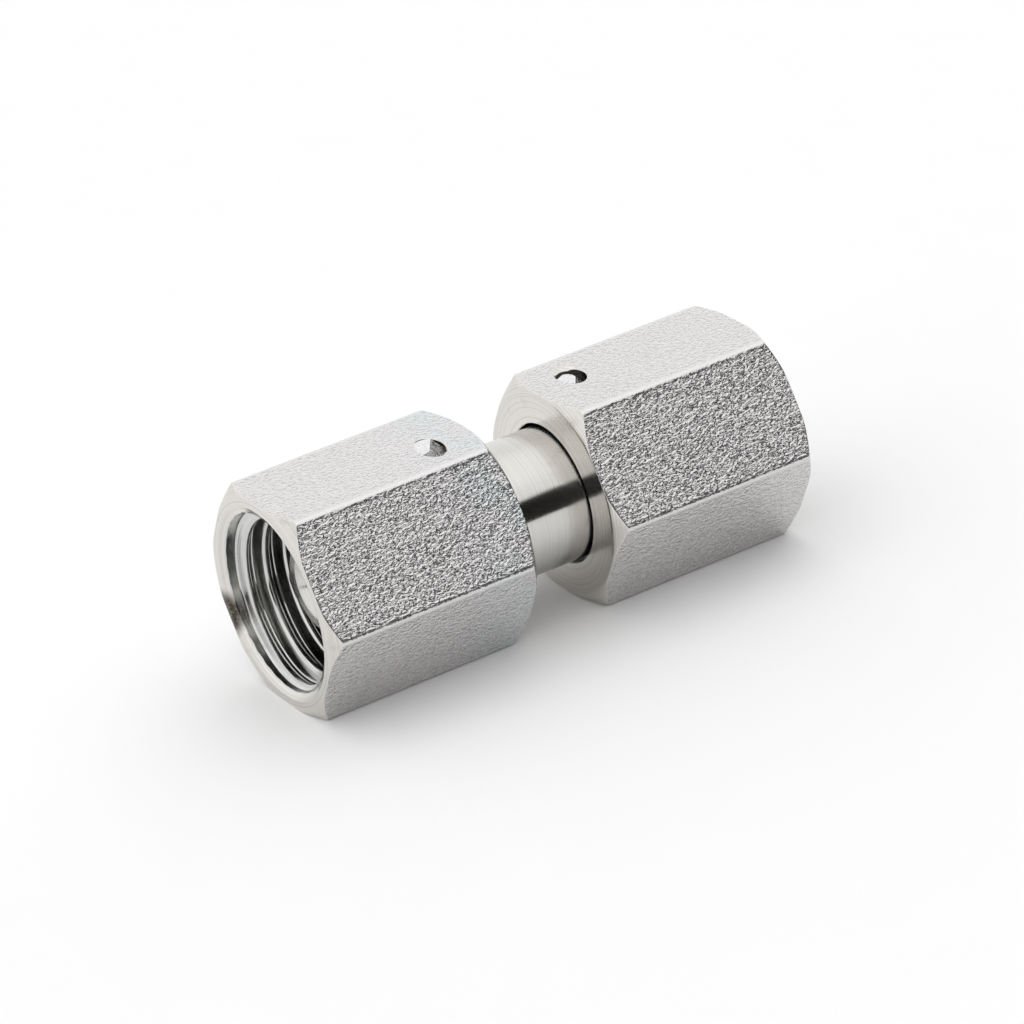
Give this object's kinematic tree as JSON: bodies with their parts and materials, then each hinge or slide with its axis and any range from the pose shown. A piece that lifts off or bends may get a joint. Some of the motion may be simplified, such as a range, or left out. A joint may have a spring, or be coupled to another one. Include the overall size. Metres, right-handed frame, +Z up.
{
  "type": "swivel coupling",
  "caption": "Straight hydraulic tube coupling: a turned nipple with a 24 degree sealing cone at each end and a captive hexagonal swivel nut on each cone.",
  "frame": {"origin": "middle of the coupling, on the nipple's axis", "axes": "+X along the axis towards the right-hand nut, +Z up through the nuts' upper flats, -Y towards the viewer"},
  "size_m": [0.0364, 0.016, 0.014],
  "materials": {
    "nipple_steel": "turned and zinc plated",
    "nut_steel": "hexagonal bar, zinc plated, clear passivated",
    "wire_steel": "drawn wire",
    "seal_rubber": "moulded, matte"
  },
  "bodies": {
    "nipple_body": {"nipple": "nipple_steel", "left_seal_ring": "seal_rubber", "right_seal_ring": "seal_rubber"},
    "left_nut_body": {"left_swivel_nut": "nut_steel", "left_locking_wire": "wire_steel"},
    "right_nut_body": {"right_swivel_nut": "nut_steel", "right_locking_wire": "wire_steel"}
  },
  "joints": [
    {"name": "left_nut_swivel", "type": "hinge", "parent": "nipple_body", "child": "left_nut_body", "pos_m": [-0.006, 0, 0], "axis": [1, 0, 0], "continuous": true},
    {"name": "right_nut_swivel", "type": "hinge", "parent": "nipple_body", "child": "right_nut_body", "pos_m": [0.006, 0, 0], "axis": [1, 0, 0], "continuous": true}
  ]
}
